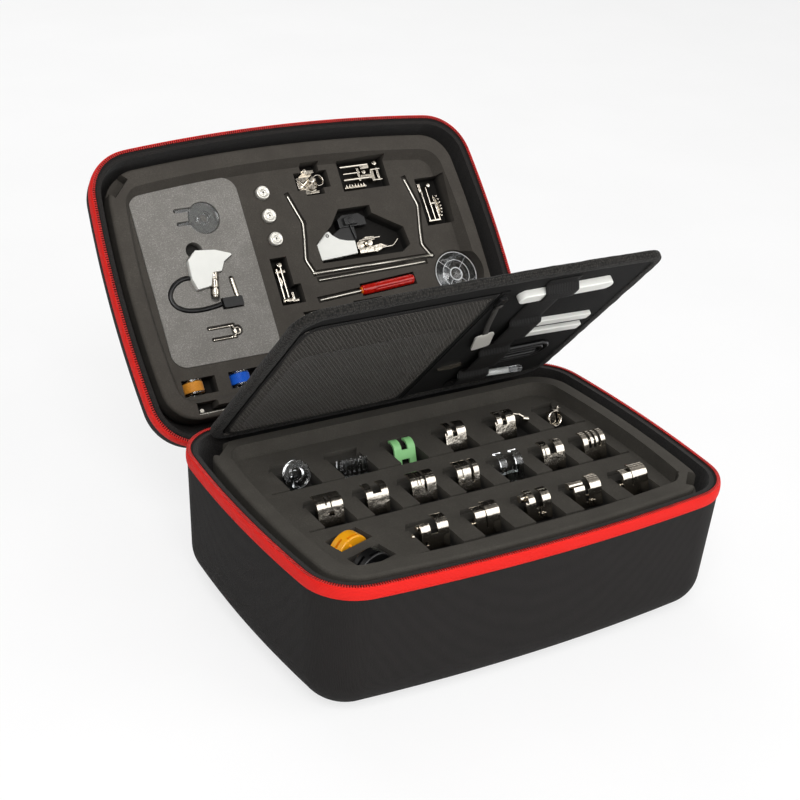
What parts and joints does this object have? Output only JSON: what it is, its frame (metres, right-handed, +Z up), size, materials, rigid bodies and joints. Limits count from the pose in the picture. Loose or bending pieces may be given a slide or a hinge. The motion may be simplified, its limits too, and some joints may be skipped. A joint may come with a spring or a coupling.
{
  "type": "sewing machine attachment case",
  "caption": "Zipped moulded case, open, with a foam tray of presser feet, a raised divider with mesh pocket and a fitted lid.",
  "frame": {"origin": "centre of the base's flat bottom", "axes": "+X to the right seen from the front, +Y towards the lid's hinge at the back, +Z up"},
  "size_m": [0.3988, 0.4895, 0.3085],
  "materials": {
    "outer_fabric": "woven ballistic nylon laminated over moulded foam board, matt",
    "lining_fabric": "brushed knit lining, matt",
    "zip_tape": "red woven zip tape, matt",
    "zip_coil": "red nylon coil, satin",
    "zip_metal": "black enamelled die-cast slider",
    "foam": "closed-cell EVA foam, cut and pressed, matt",
    "grey_foam": "light grey speckled foam, matt",
    "foot_metal": "nickel-chrome plated steel, polished",
    "clear_plastic": "clear moulded acrylic",
    "green_plastic": "moulded green plastic",
    "orange_plastic": "moulded orange plastic",
    "black_plastic": "moulded black plastic",
    "white_plastic": "moulded white plastic, satin",
    "red_handle": "clear red cellulose acetate",
    "black_rubber": "black flexible lead jacket",
    "steel": "bright drawn steel",
    "orange_thread": "wound polyester thread",
    "blue_thread": "wound polyester thread",
    "board_fabric": "laminated fabric over a stiff board",
    "mesh": "open knit mesh",
    "elastic": "woven elastic webbing",
    "tag_metal": "cast tag, satin"
  },
  "bodies": {
    "base": {"base_shell": "outer_fabric", "base_lining": "lining_fabric", "base_zip_tape": "zip_tape", "base_zip_teeth": "zip_coil", "lower_foam_block": "foam", "foam_tray": "foam", "metal_feet_row_1": "foot_metal", "metal_feet_row_2": "foot_metal", "metal_feet_row_3": "foot_metal", "clear_feet": "clear_plastic", "green_buttonhole_foot": "green_plastic", "orange_foot": "orange_plastic", "black_foot": "black_plastic", "hinge_spine": "outer_fabric", "divider_hinge_strip": "board_fabric"},
    "lid": {"lid_shell": "outer_fabric", "lid_lining": "lining_fabric", "lid_zip_tape": "zip_tape", "lid_zip_teeth": "zip_coil", "lid_foam_tray": "foam", "light_foam_insert": "grey_foam", "clear_disc_foot": "clear_plastic", "sensor_module": "white_plastic", "sensor_clamp_barrel": "foot_metal", "sensor_lead": "black_rubber", "jack_plug": "black_rubber", "jack_pin": "foot_metal", "fork_clip": "foot_metal", "thumb_screws": "foot_metal", "screwdriver_handle": "red_handle", "screwdriver_blade": "steel", "wire_frame": "steel", "clear_disc_guide": "clear_plastic", "white_cutter_guard": "white_plastic", "cutter_arm": "foot_metal", "cutter_clamp": "black_plastic", "binder_foot": "foot_metal", "ruffler_foot": "foot_metal", "gathering_foot": "foot_metal", "seam_guide_foot": "foot_metal", "small_clips": "foot_metal", "bobbins": "clear_plastic", "thread_orange": "orange_thread", "thread_blue": "blue_thread", "needle_bar": "steel"},
    "divider": {"divider_board": "board_fabric", "divider_binding": "lining_fabric", "mesh_pocket": "mesh", "pocket_sleeve": "white_plastic", "pocket_zip": "board_fabric", "elastic_band": "elastic", "white_tools": "white_plastic", "needle_tube": "clear_plastic", "spare_belt": "black_rubber", "seam_ripper_blade": "steel"},
    "pocket_slider": {"pocket_zip_slider": "zip_metal", "pull_ribbon": "elastic", "pull_tag": "tag_metal"},
    "slider_left": {"zip_slider_left": "zip_metal"},
    "slider_right": {"zip_slider_right": "zip_metal"}
  },
  "joints": [
    {"name": "lid_hinge", "type": "hinge", "parent": "base", "child": "lid", "pos_m": [0, 0.1335, 0.106], "axis": [1, 0, 0], "range_deg": [0, 130], "deforming": ["hinge_spine"]},
    {"name": "divider_hinge", "type": "hinge", "parent": "base", "child": "divider", "pos_m": [0, 0.105, 0.11], "axis": [1, 0, 0], "range_deg": [0, 48.62], "deforming": ["divider_hinge_strip"]},
    {"name": "pocket_zip_slide", "type": "slide", "parent": "divider", "child": "pocket_slider", "axis": [0, 0.6613, -0.7501], "range_m": [0, 0.085]},
    {"name": "left_zip_slide", "type": "slide", "parent": "base", "child": "slider_left", "axis": [-1, 0, 0], "range_m": [0, 0.02]},
    {"name": "right_zip_slide", "type": "slide", "parent": "base", "child": "slider_right", "axis": [1, 0, 0], "range_m": [0, 0.02]}
  ],
  "couplings": [
    {"joint": "divider_hinge", "follows": "lid_hinge", "ratio": 0.3738}
  ]
}
